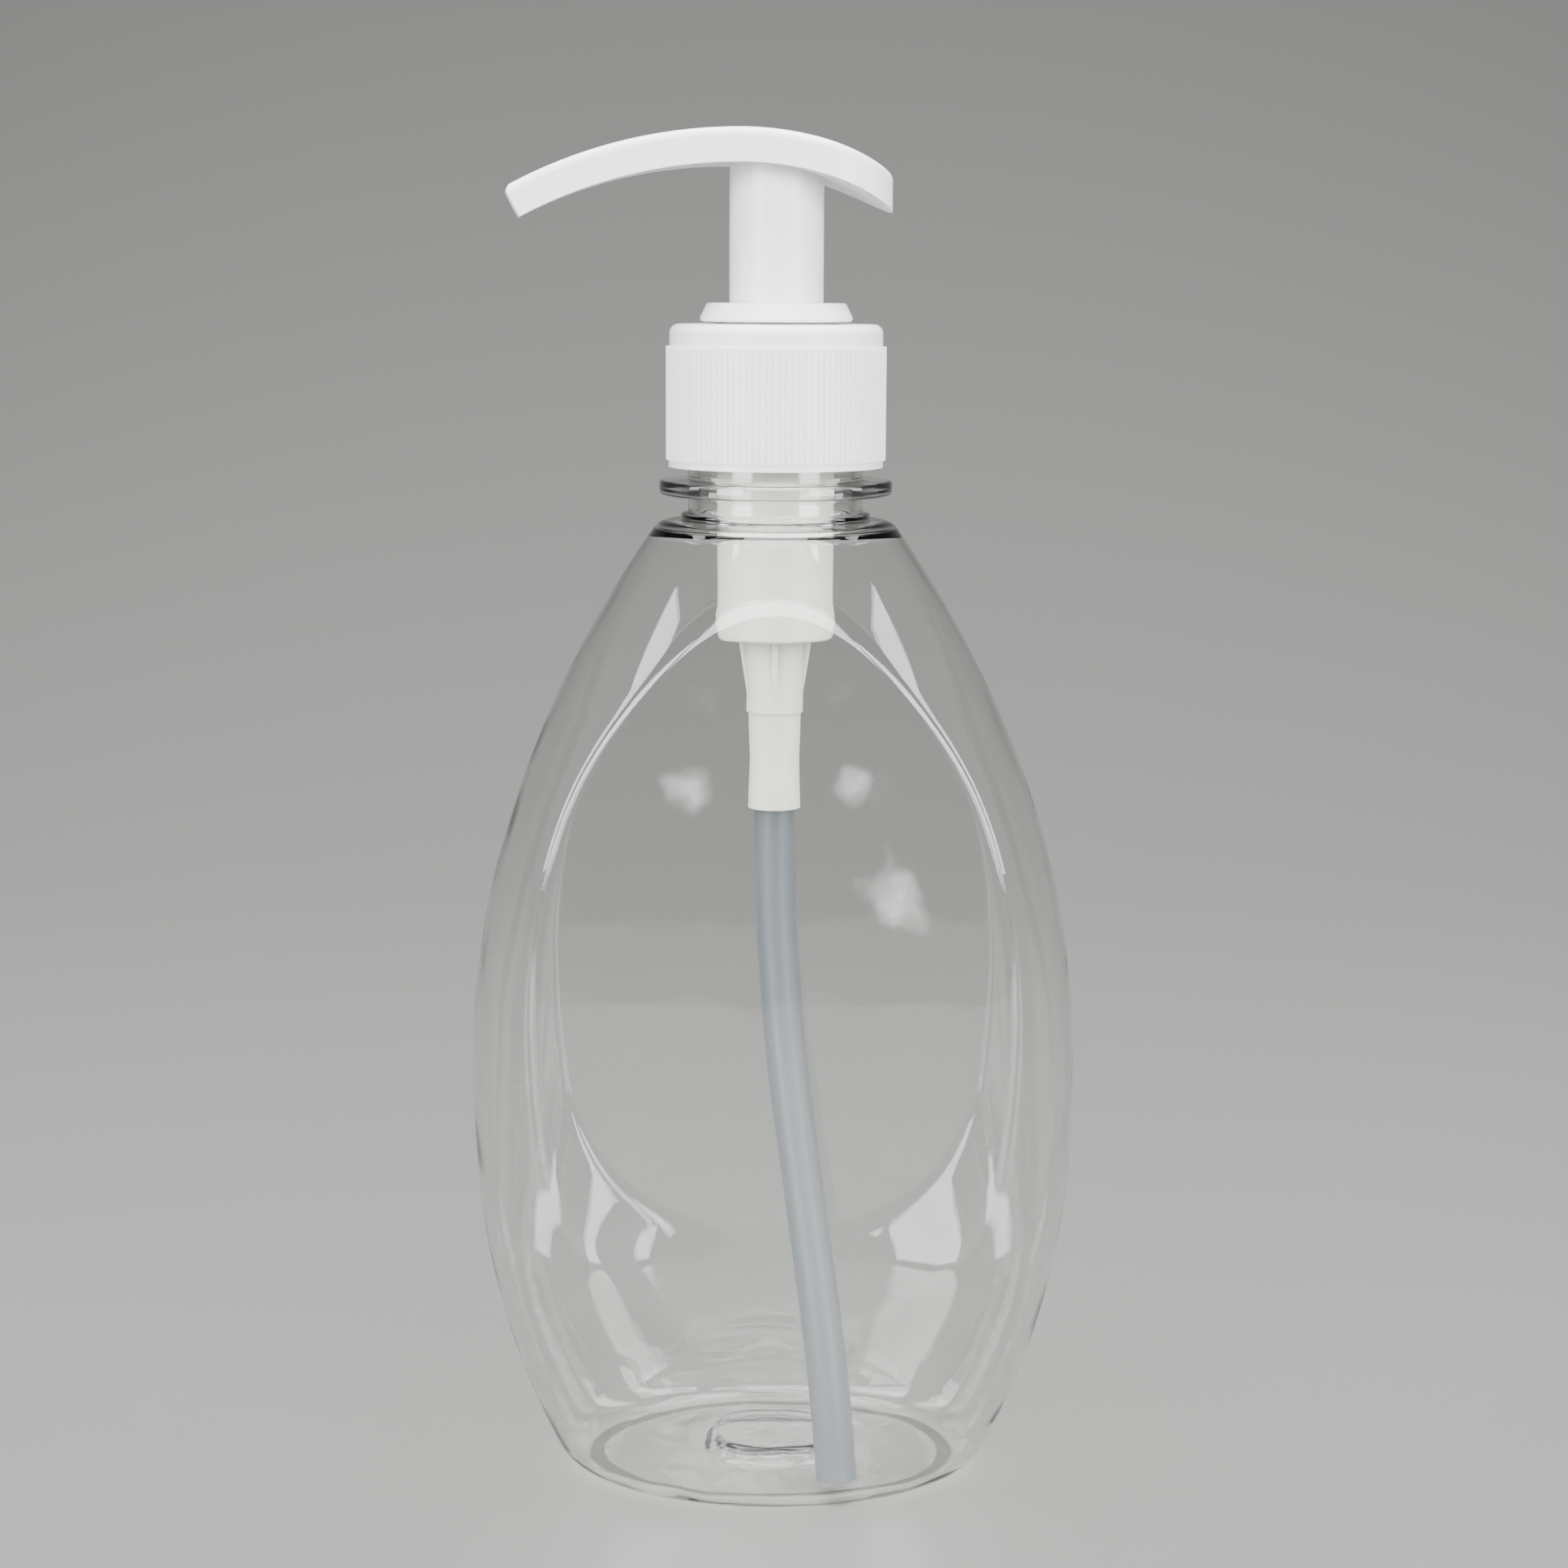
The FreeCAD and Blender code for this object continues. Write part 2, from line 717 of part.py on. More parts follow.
def make_piston():
    """Piston with a lip above and below, free to slide a little on the rod."""
    return turned_body("piston_seal", (
        ("stem_bore / 2 + running_gap", "flange_seat"),
        ("lip_root", "flange_seat"),
        ("barrel_bore / 2 - running_gap - 0.3", "flange_seat - piston_lip"),
        ("barrel_bore / 2 - running_gap", "flange_seat - piston_lip"),
        ("barrel_bore / 2 - running_gap", "piston_top"),
        ("barrel_bore / 2 - running_gap - 0.3", "piston_top"),
        ("lip_root", "piston_top - piston_lip"),
        ("stem_bore / 2 + 2 * piston_lip", "piston_top - piston_lip"),
        ("stem_bore / 2 + 2 * piston_lip", "piston_top"),
        ("stem_bore / 2 + running_gap", "piston_top"),
    ))


def make_stem():
    """Hollow stem that carries the head and takes the soap up to it."""
    return turned_body("stem", (
        ("stem_bore / 2", "stem_low"),
        ("stem_diameter / 2", "stem_low"),
        ("stem_diameter / 2", "socket_top"),
        ("stem_bore / 2", "socket_top"),
    ))


def make_rod():
    """Rod pressed into the stem: spring pilot, flange, and a ported shank."""
    blank = turned_body("rod_blank", (
        ("0", "spring_top - 2 * rod_flange"),
        ("spring_diameter / 2 - spring_wire - slide_gap", "spring_top - 2 * rod_flange"),
        ("spring_diameter / 2 - spring_wire - slide_gap", "spring_top"),
        ("spring_diameter / 2", "spring_top"),
        ("spring_diameter / 2", "flange_seat"),
        ("stem_bore / 2", "flange_seat"),
        ("stem_bore / 2", "stem_low + rod_reach"),
        ("rod_duct / 2", "stem_low + rod_reach"),
        ("rod_duct / 2", "flange_seat + rod_port / 2"),
        ("0", "flange_seat + rod_port / 2"),
    ))
    port = doc.addObject("Part::Cylinder", "rod_cross_port")
    bind(port, Radius="rod_port / 2", Height="spring_diameter")
    port.Placement.Rotation = FreeCAD.Rotation(FreeCAD.Vector(0, 1, 0), 90)
    place(port, across="-spring_diameter / 2", up="flange_seat + rod_port + 0.2")
    return combine("Cut", "piston_rod", blank, port)


def make_tube():
    """Dip tube: a straight top, then an S bend that ends beside the front wall."""
    lean, end_lean = math.radians(value("tube_lean")), math.radians(value("tube_end_lean"))
    bend, run = value("tube_bend"), value("tube_run")
    top = FreeCAD.Vector(0, 0, value("tube_top"))
    start = top - FreeCAD.Vector(0, 0, value("tube_straight"))

    def bend_point(base, centre_side, first, last):
        """Return the point reached along one bend from a lean to another."""
        across = bend * (math.cos(first) - math.cos(last)) * centre_side
        down = bend * (math.sin(last) - math.sin(first)) * centre_side
        return base + FreeCAD.Vector(across, 0, -down)

    first_mid = bend_point(start, 1, 0, lean / 2)
    first_end = bend_point(start, 1, 0, lean)
    run_end = first_end + FreeCAD.Vector(math.sin(lean), 0, -math.cos(lean)) * run
    last_mid = bend_point(run_end, -1, lean, (lean + end_lean) / 2)
    last_end = bend_point(run_end, -1, lean, end_lean)
    path = Part.Wire([
        Part.LineSegment(top, start).toShape(),
        Part.Arc(start, first_mid, first_end).toShape(),
        Part.LineSegment(first_end, run_end).toShape(),
        Part.Arc(run_end, last_mid, last_end).toShape(),
    ])
    sweeps = []
    for radius in (value("tube_diameter / 2"), value("tube_diameter / 2 - tube_wall")):
        section = Part.Wire(Part.Circle(top, FreeCAD.Vector(0, 0, 1), radius).toShape())
        sweeps.append(path.makePipeShell([section], True, False))
    tube = doc.addObject("Part::Feature", "dip_tube")
    tube.Shape = sweeps[0].cut(sweeps[1])
    heading = FreeCAD.Rotation(FreeCAD.Vector(0, 0, 1), value("tube_heading"))
    tube.Placement = FreeCAD.Placement(FreeCAD.Vector(0, 0, 0), heading)
    return tube


# --------------------------------------------------------------------------
# Actuator head
# --------------------------------------------------------------------------
def head_plate():
    """Arched plate: side outline and plan outline in common, top edges rounded."""
    side = extruded("head_side", "Y", (
        ("-spout_reach", "spout_top_level"),
        ("-spout_cut", "spout_under_level", "-spout_under_radius"),
        ("head_apex", "head_under", "-tail_under_radius"),
        ("palm_end", "tail_under_level"),
        ("palm_end", "tail_top_level", "tail_top_radius"),
        ("head_apex", "head_top", "spout_top_radius"),
    ), "-palm_radius - 1", "2 * palm_radius + 2")
    spread = value("palm_centre + spout_reach")
    across = value("spout_width / 2")
    palm = value("palm_radius")
    touch = math.pi - math.atan2(across, spread) - math.acos(palm / math.hypot(spread, across))
    away = f"palm_centre + palm_radius * {math.cos(touch):.5f}"
    aside = f"palm_radius * {math.sin(touch):.5f}"
    plan = extruded("head_plan", "Z", (
        ("-spout_reach - 1", "-spout_width / 2"),
        (away, f"-{aside}", "palm_radius"),
        ("palm_end", "0", "palm_radius"),
        (away, aside),
        ("-spout_reach - 1", "spout_width / 2"),
    ), "socket_low", "head_top - socket_low + 1")
    return combine("MultiCommon", "head_plate", side, plan)


def top_edges(shape):
    """Return the numbers of the edges round the plate's upper face."""
    limit = value("tail_top_level") - 0.01
    numbers = []
    for number, edge in enumerate(shape.Edges, start=1):
        middle = edge.valueAt((edge.FirstParameter + edge.LastParameter) / 2)
        apex = value("head_apex")
        radius = value("spout_top_radius" if middle.x < apex else "tail_top_radius")
        gap = math.hypot(middle.x - apex, middle.z - value("head_top") + radius) - radius
        crosses_apex = abs(middle.x - apex) < 0.01 and abs(middle.y) < 1.0
        if abs(gap) < 0.01 and not crosses_apex and middle.z > limit - 8:
            numbers.append(number)
    return numbers


def make_head():
    """Actuator head: spout plate, skirt, stem socket and soap channel."""
    plate = head_plate()
    rounded = doc.addObject("Part::Fillet", "head_plate_rounded")
    rounded.Base = plate
    size = value("head_round")
    rounded.Edges = [(number, size, size) for number in top_edges(plate.Shape)]
    doc.recompute()
    skirt = turned_body("head_skirt", (
        ("skirt_diameter / 2 - skirt_wall", "skirt_low"),
        ("skirt_diameter / 2", "skirt_low"),
        ("skirt_diameter / 2", "head_under + 1"),
        ("0", "head_under + 1"),
        ("0", "socket_low"),
        ("stem_diameter / 2 + socket_wall", "socket_low"),
        ("stem_diameter / 2 + socket_wall", "socket_top + 1"),
        ("skirt_diameter / 2 - skirt_wall", "socket_top + 1"),
    ))
    socket = cylinder("stem_socket", "stem_diameter / 2", "socket_depth", "socket_low")
    riser = cylinder("soap_riser", "stem_bore / 2", "head_top - head_thickness / 2 - socket_top",
                     "socket_top")
    channel = doc.addObject("Part::Torus", "soap_channel")
    start = math.degrees(math.acos(-value("head_apex / channel_radius")))
    turn = FreeCAD.Rotation(FreeCAD.Vector(1, 0, 0), 90)
    spin = FreeCAD.Rotation(FreeCAD.Vector(0, 0, 1), start)
    channel.Placement.Rotation = turn.multiply(spin)
    bind(channel, Radius1="channel_radius", Radius2="channel_diameter / 2", Angle3="40")
    place(channel, across="head_apex", up="channel_centre")
    solid = combine("MultiFuse", "head_solid", rounded, skirt)
    head = combine("Cut", "actuator_head", solid, socket, riser, channel)
    head.Placement.Rotation = FreeCAD.Rotation(FreeCAD.Vector(0, 0, 1), value("head_turn"))
    return head


# --------------------------------------------------------------------------
# Build, check and write
# --------------------------------------------------------------------------
def main():
    """Build every sub-part, check the document, and write one file per node."""
    makers = (make_bottle, make_closure, make_collar, make_gasket, make_housing, make_tube,
              make_ball, make_spring, make_piston, make_stem, make_rod, make_head)
    for make in makers:
        make()
    doc.recompute()
    for item in doc.Objects:
        if "Invalid" in item.State or "Error" in item.State:
            raise RuntimeError(f"{item.Label} did not compute: {item.State}")
    os.makedirs("parts", exist_ok=True)
    for name in NODES:
        shape = doc.getObjectsByLabel(name)[0].Shape
        if shape.isNull() or not shape.isValid():
            raise RuntimeError(f"{name} has no valid shape")
        print(f"{name}: {shape.Volume:.1f} mm3, {len(shape.Solids)} solid")
        shape.exportStep(f"parts/{name}.step")


main()
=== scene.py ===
"""A clear oval soap bottle with a white pump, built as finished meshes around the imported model."""

from __future__ import annotations

import logging
import math
from dataclasses import dataclass, field
from enum import Enum

import bmesh
import bpy
import numpy as np
from mathutils import Matrix, Vector, noise

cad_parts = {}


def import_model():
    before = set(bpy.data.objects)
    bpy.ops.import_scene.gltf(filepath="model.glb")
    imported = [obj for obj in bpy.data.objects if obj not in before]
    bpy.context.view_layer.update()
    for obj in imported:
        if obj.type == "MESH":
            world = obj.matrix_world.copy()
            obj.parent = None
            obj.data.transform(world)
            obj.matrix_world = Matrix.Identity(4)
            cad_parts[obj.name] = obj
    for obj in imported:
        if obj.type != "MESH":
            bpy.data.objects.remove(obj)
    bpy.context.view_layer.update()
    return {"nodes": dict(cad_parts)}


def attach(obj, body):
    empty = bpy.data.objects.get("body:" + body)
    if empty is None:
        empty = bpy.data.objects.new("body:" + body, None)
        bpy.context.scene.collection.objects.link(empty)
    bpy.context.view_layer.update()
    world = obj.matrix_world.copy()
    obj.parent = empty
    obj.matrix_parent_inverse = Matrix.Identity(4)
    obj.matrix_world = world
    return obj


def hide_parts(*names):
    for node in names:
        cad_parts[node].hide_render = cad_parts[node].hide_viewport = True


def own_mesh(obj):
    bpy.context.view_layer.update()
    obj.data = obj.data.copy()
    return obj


LOG = logging.getLogger("soap_pump")

MM = 0.001
FULL_TURN = 2.0 * math.pi
QUARTER_TURN = 0.5 * math.pi

Pair = tuple[float, float]
Triple = tuple[float, float, float]


class Slot(Enum):
    """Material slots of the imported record."""

    CLEAR_PET = "clear_pet"
    WHITE_PP = "white_pp"
    GASKET_FOAM = "gasket_foam"
    NATURAL_PP = "natural_pp"
    TUBE_PE = "tube_pe"
    BALL_STEEL = "ball_steel"
    SPRING_STEEL = "spring_steel"
    SEAL_PE = "seal_pe"


class Grain(Enum):
    """Textures that a moulded surface can carry."""

    ORANGE_PEEL = "orange_peel"
    BRUSHED = "brushed"


@dataclass(frozen=True)
class Moulded:
    """An opaque or milky moulded plastic, or a plain metal.

    Attributes:
        name: name of the material.
        colour: base colour, linear.
        shade: the slightly darker colour that drifts over the surface, linear.
        roughness: least and most roughness.
        milk: share of light scattered below the surface.
        depth: how far scattered light travels, in metres.
        clear: share of light that passes straight through.
        metal: 1 for metal.
        grain_size: size of the surface texture, in metres.
        relief: height of the surface texture, in metres.
        grain: kind of surface texture.
        index: refractive index.
        reach: how far red, green and blue light scatter, as shares of the depth.
        drift_size: size of the patches in which the colour drifts, in metres.
        brush_stretch: how much finer brushed texture is along the axis than across it.
    """

    name: str
    colour: Triple
    shade: Triple
    roughness: Pair = (0.3, 0.4)
    milk: float = 0.0
    depth: float = 1.5 * MM
    clear: float = 0.0
    metal: float = 0.0
    grain_size: float = 0.6 * MM
    relief: float = 0.004 * MM
    grain: Grain = Grain.ORANGE_PEEL
    index: float = 1.49
    reach: Triple = (1.0, 0.9, 0.8)
    drift_size: float = 14.0 * MM
    brush_stretch: float = 8.0

    def material(self) -> bpy.types.Material:
        """Builds the node material.

        Returns:
            The new material.
        """
        made, nodes, links = blank_material(self.name)
        shader = nodes.new("ShaderNodeBsdfPrincipled")
        shader.inputs["Metallic"].default_value = self.metal
        shader.inputs["Transmission Weight"].default_value = self.clear
        shader.inputs["Subsurface Weight"].default_value = self.milk
        shader.inputs["Subsurface Scale"].default_value = self.depth
        shader.inputs["Subsurface Radius"].default_value = self.reach
        shader.inputs["IOR"].default_value = self.index
        place = nodes.new("ShaderNodeTexCoord").outputs["Object"]
        if self.grain is Grain.BRUSHED:
            stretch = nodes.new("ShaderNodeMapping")
            stretch.inputs["Scale"].default_value = (1.0, 1.0, self.brush_stretch)
            links.new(place, stretch.inputs["Vector"])
            place = stretch.outputs["Vector"]
        drift = cloud(nodes, links, place, self.drift_size, 3.0)
        tint = nodes.new("ShaderNodeMix")
        tint.data_type = "RGBA"
        tint.inputs[6].default_value = (*self.colour, 1.0)
        tint.inputs[7].default_value = (*self.shade, 1.0)
        links.new(drift, tint.inputs[0])
        links.new(tint.outputs[2], shader.inputs["Base Color"])
        fine = cloud(nodes, links, place, self.grain_size, 2.0)
        gloss = nodes.new("ShaderNodeMapRange")
        gloss.inputs["To Min"].default_value = self.roughness[0]
        gloss.inputs["To Max"].default_value = self.roughness[1]
        links.new(fine, gloss.inputs["Value"])
        links.new(gloss.outputs["Result"], shader.inputs["Roughness"])
        links.new(raised(nodes, links, fine, self.relief), shader.inputs["Normal"])
        links.new(shader.outputs["BSDF"], nodes["Out"].inputs["Surface"])
        return made


@dataclass(frozen=True)
class ClearPlastic:
    """Clear stretch-blown PET: glossy, faintly grey, with foggy smudges and soft flow waves.

    Attributes:
        name: name of the material.
        colour: colour of light through one wall, linear.
        roughness: roughness of clean plastic.
        haze: roughness in the middle of a smudge.
        cloudy: share of light that passes in the middle of a smudge.
        index: refractive index.
        wave_size: size of the flow waves, in metres.
        wave_relief: height of the flow waves, in metres.
        shadow: colour of light that passes one wall into a shadow, linear.
        rag_size: size of the lumps that tear the smudges' edges, in metres.
        rag_detail: levels of finer noise in those lumps.
        rag: how strongly those lumps count against the distance from a smudge.
        torn: values at which a smudge starts to show and is at its full strength.
        core: share of a smudge's size within which it does not fade.
        smudges: place and size of each foggy smudge on the front panel, in metres.
    """

    name: str
    colour: Triple = (0.945, 0.946, 0.938)
    roughness: float = 0.015
    haze: float = 0.30
    cloudy: float = 0.92
    index: float = 1.56
    wave_size: float = 16.0 * MM
    wave_relief: float = 0.045 * MM
    shadow: Triple = (0.90, 0.90, 0.89)
    rag_size: float = 6.0 * MM
    rag_detail: float = 7.0
    rag: float = 2.4
    torn: Pair = (1.75, 2.5)
    core: float = 0.3
    smudges: tuple[tuple[float, float, float, float], ...] = (
        (-12.5 * MM, -23.5 * MM, 104.0 * MM, 6.5 * MM),
        (10.5 * MM, -23.5 * MM, 106.0 * MM, 5.0 * MM),
        (16.5 * MM, -23.5 * MM, 90.0 * MM, 8.5 * MM),
    )

    def material(self) -> bpy.types.Material:
        """Builds the node material.

        Returns:
            The new material.
        """
        made, nodes, links = blank_material(self.name)
        shader = nodes.new("ShaderNodeBsdfPrincipled")
        shader.inputs["IOR"].default_value = self.index
        shader.inputs["Base Color"].default_value = (*self.colour, 1.0)
        place = nodes.new("ShaderNodeTexCoord").outputs["Object"]
        fog = self.fog(nodes, links, place)
        rub = nodes.new("ShaderNodeMapRange")
        rub.inputs["To Min"].default_value = self.roughness
        rub.inputs["To Max"].default_value = self.haze
        links.new(fog, rub.inputs["Value"])
        links.new(rub.outputs["Result"], shader.inputs["Roughness"])
        clear = nodes.new("ShaderNodeMapRange")
        clear.inputs["To Min"].default_value = 1.0
        clear.inputs["To Max"].default_value = self.cloudy
        links.new(fog, clear.inputs["Value"])
        links.new(clear.outputs["Result"], shader.inputs["Transmission Weight"])
        waves = cloud(nodes, links, place, self.wave_size, 1.0)
        links.new(raised(nodes, links, waves, self.wave_relief), shader.inputs["Normal"])
        through = nodes.new("ShaderNodeBsdfTransparent")
        through.inputs["Color"].default_value = (*self.shadow, 1.0)
        pick = nodes.new("ShaderNodeMixShader")
        path = nodes.new("ShaderNodeLightPath")
        links.new(path.outputs["Is Shadow Ray"], pick.inputs[0])
        links.new(shader.outputs["BSDF"], pick.inputs[1])
        links.new(through.outputs["BSDF"], pick.inputs[2])
        links.new(pick.outputs["Shader"], nodes["Out"].inputs["Surface"])
        return made

    def fog(
        self, nodes: bpy.types.Nodes, links: bpy.types.NodeLinks, place: bpy.types.NodeSocket,
    ) -> bpy.types.NodeSocket:
        """Adds the foggy smudges: ragged patches that fade out round their places.

        Args:
            nodes: nodes of the material.
            links: links of the material.
            place: the coordinate output to read.

        Returns:
            The value output, 1 in the middle of a smudge.
        """
        ragged = cloud(nodes, links, place, self.rag_size, self.rag_detail)
        most = None
        for across, along, up, size in self.smudges:
            away = nodes.new("ShaderNodeVectorMath")
            away.operation = "DISTANCE"
            away.inputs[1].default_value = (across, along, up)
            links.new(place, away.inputs[0])
            fade = nodes.new("ShaderNodeMapRange")
            fade.inputs["From Min"].default_value = size
            fade.inputs["From Max"].default_value = self.core * size
            links.new(away.outputs["Value"], fade.inputs["Value"])
            if most is None:
                most = fade.outputs["Result"]
                continue
            larger = nodes.new("ShaderNodeMath")
            larger.operation = "MAXIMUM"
            links.new(most, larger.inputs[0])
            links.new(fade.outputs["Result"], larger.inputs[1])
            most = larger.outputs["Value"]
        torn = nodes.new("ShaderNodeMath")
        torn.operation = "MULTIPLY_ADD"
        torn.inputs[1].default_value = self.rag
        links.new(ragged, torn.inputs[0])
        links.new(most, torn.inputs[2])
        edge = nodes.new("ShaderNodeMapRange")
        edge.inputs["From Min"].default_value = self.torn[0]
        edge.inputs["From Max"].default_value = self.torn[1]
        links.new(torn.outputs["Value"], edge.inputs["Value"])
        return edge.outputs["Result"]


def blank_material(name: str) -> tuple[bpy.types.Material, bpy.types.Nodes, bpy.types.NodeLinks]:
    """Starts a node material that holds only its output.

    Args:
        name: name of the material.

    Returns:
        The material, its nodes and its links. The output node is named Out.
    """
    made = bpy.data.materials.new(name)
    made.use_nodes = True
    nodes, links = made.node_tree.nodes, made.node_tree.links
    nodes.clear()
    nodes.new("ShaderNodeOutputMaterial").name = "Out"
    return made, nodes, links


def cloud(
    nodes: bpy.types.Nodes, links: bpy.types.NodeLinks, place: bpy.types.NodeSocket,
    size: float, detail: float,
) -> bpy.types.NodeSocket:
    """Adds a noise texture whose lumps are about one size.

    Args:
        nodes: nodes of the material.
        links: links of the material.
        place: the coordinate output to read.
        size: size of a lump, in metres.
        detail: levels of finer noise.

    Returns:
        The texture's value output.
    """
    lumps = nodes.new("ShaderNodeTexNoise")
    lumps.inputs["Scale"].default_value = 1.0 / size
    lumps.inputs["Detail"].default_value = detail
    links.new(place, lumps.inputs["Vector"])
    return lumps.outputs["Fac"]


def raised(
    nodes: bpy.types.Nodes, links: bpy.types.NodeLinks, height: bpy.types.NodeSocket,
    relief: float,
) -> bpy.types.NodeSocket:
    """Turns a height into a bumped normal.

    Args:
        nodes: nodes of the material.
        links: links of the material.
        height: the value output that holds the height.
        relief: height of the relief, in metres.

    Returns:
        The bumped normal output.
    """
    bump = nodes.new("ShaderNodeBump")
    bump.inputs["Strength"].default_value = 1.0
    bump.inputs["Distance"].default_value = relief
    links.new(height, bump.inputs["Height"])
    return bump.outputs["Normal"]


class Finishes:
    """Every finish of the object, made once and shared by its pieces."""

    def __init__(self) -> None:
        """Builds the materials."""
        self.pet = ClearPlastic("clear_bottle_pet").material()
        self.white = Moulded(
            "white_moulded_pp", (0.83, 0.835, 0.82), (0.80, 0.81, 0.80), (0.24, 0.34),
            milk=0.35, depth=0.8 * MM,
        ).material()
        self.natural = Moulded(
            "natural_moulded_pp", (0.52, 0.53, 0.495), (0.46, 0.47, 0.435), (0.30, 0.42),
            milk=0.6, depth=2.0 * MM,
        ).material()
        self.tube = Moulded(
            "milky_tube_pe", (0.25, 0.285, 0.31), (0.22, 0.255, 0.28), (0.30, 0.42),
            milk=0.1, depth=1.5 * MM, clear=0.75, grain_size=1.2 * MM,
        ).material()
        self.foam = Moulded(
            "gasket_foam", (0.78, 0.79, 0.80), (0.70, 0.71, 0.73), (0.6, 0.75),
            milk=0.3, grain_size=0.25 * MM, relief=0.03 * MM,
        ).material()
        self.seal = Moulded(
            "seal_pe", (0.72, 0.74, 0.74), (0.66, 0.69, 0.70), (0.3, 0.4), milk=0.5,
        ).material()
        self.steel = Moulded(
            "polished_steel", (0.62, 0.62, 0.61), (0.56, 0.56, 0.56), (0.08, 0.16), metal=1.0,
        ).material()
        self.wire = Moulded(
            "drawn_spring_wire", (0.58, 0.57, 0.55), (0.50, 0.49, 0.48), (0.18, 0.32),
            metal=1.0, grain_size=0.3 * MM, grain=Grain.BRUSHED,
        ).material()


def dress(thing: bpy.types.Object, finish: bpy.types.Material) -> None:
    """Gives a mesh object one material.

    Args:
        thing: the object.
        finish: the material.
    """
    thing.data.materials.clear()
    thing.data.materials.append(finish)


def piece(name: str, mesh: bmesh.types.BMesh, finish: bpy.types.Material) -> bpy.types.Object:
    """Makes an object from a finished bmesh and frees the bmesh.

    Args:
        name: name of the object.
        mesh: the finished bmesh, in metres.
        finish: the material.

    Returns:
        The new object, at the origin.
    """
    bmesh.ops.recalc_face_normals(mesh, faces=mesh.faces)
    data = bpy.data.meshes.new(name)
    mesh.to_mesh(data)
    mesh.free()
    made = bpy.data.objects.new(name, data)
    bpy.context.collection.objects.link(made)
    dress(made, finish)
    for face in data.polygons:
        face.use_smooth = True
    return made


def soft_min(value: float, limit: float, blend: float) -> float:
    """The smaller of two values, with a rounded change between them.

    Args:
        value: the first value.
        limit: the second value.
        blend: how far from the meeting point the rounding starts.

    Returns:
        The rounded minimum.
    """
    over = max(0.0, blend - abs(value - limit))
    return min(value, limit) - over * over / (4.0 * blend)


def rounded_line(corners: list[Triple], steps: int = 5) -> list[Pair]:
    """Draws straight stretches with their corners rounded by arcs.

    Args:
        corners: radius from the axis, height and rounding of each corner, in metres.
        steps: segments along each arc.

    Returns:
        The points of the line, as radius and height.
    """
    line: list[Pair] = []
    for index, (across, up, rounding) in enumerate(corners):
        here = Vector((across, up))
        if rounding <= 0.0 or index in (0, len(corners) - 1):
            line.append((across, up))
            continue
        back = (Vector(corners[index - 1][:2]) - here).normalized()
        ahead = (Vector(corners[index + 1][:2]) - here).normalized()
        half = back.angle(ahead) / 2.0
        reach = rounding / math.tan(half)
        middle = here + (back + ahead).normalized() * (rounding / math.sin(half))
        start = here + back * reach - middle
        end = here + ahead * reach - middle
        sweep = start.angle_signed(end)
        for step in range(steps + 1):
            turned = Matrix.Rotation(-sweep * step / steps, 2) @ start
            line.append(tuple(middle + turned))
    return line


class SplineCurve:
    """A smooth curve through given points, for a size that changes with height."""

    def __init__(self, points: list[Pair]) -> None:
        """Solves the curve.

        Args:
            points: positions and values, in rising order of position.
        """
        self.at = np.array([position for position, _ in points])
        self.value = np.array([value for _, value in points])
        count = len(points)
        gap = np.diff(self.at)
        system = np.zeros((count, count))
        known = np.zeros(count)
        system[0, 0] = system[-1, -1] = 1.0
        for row in range(1, count - 1):
            system[row, row - 1: row + 2] = gap[row - 1], 2.0 * (gap[row - 1] + gap[row]), gap[row]
            slope_after = (self.value[row + 1] - self.value[row]) / gap[row]
            slope_before = (self.value[row] - self.value[row - 1]) / gap[row - 1]
            known[row] = 6.0 * (slope_after - slope_before)
        self.bend = np.linalg.solve(system, known)

    def __call__(self, position: float) -> float:
        """Reads the curve.

        Args:
            position: where to read it.

        Returns:
            The value there.
        """
        spot = int(np.clip(np.searchsorted(self.at, position) - 1, 0, len(self.at) - 2))
        low, high = self.at[spot], self.at[spot + 1]
        gap = high - low
        before, after = (high - position) / gap, (position - low) / gap
        curve = (before**3 - before) * self.bend[spot] + (after**3 - after) * self.bend[spot + 1]
        return float(before * self.value[spot] + after * self.value[spot + 1] + curve * gap * gap / 6.0)


@dataclass(frozen=True)
class Row:
    """One level ring of the bottle's wall.

    Attributes:
        wide: half width along X.
        deep: half depth along Y before the flat panels cut it.
        height: height of the ring.
        flat: how far the flat panels stand from the middle.
        inside: True on the inner wall.
    """

    wide: float
    deep: float
    height: float
    flat: float
    inside: bool


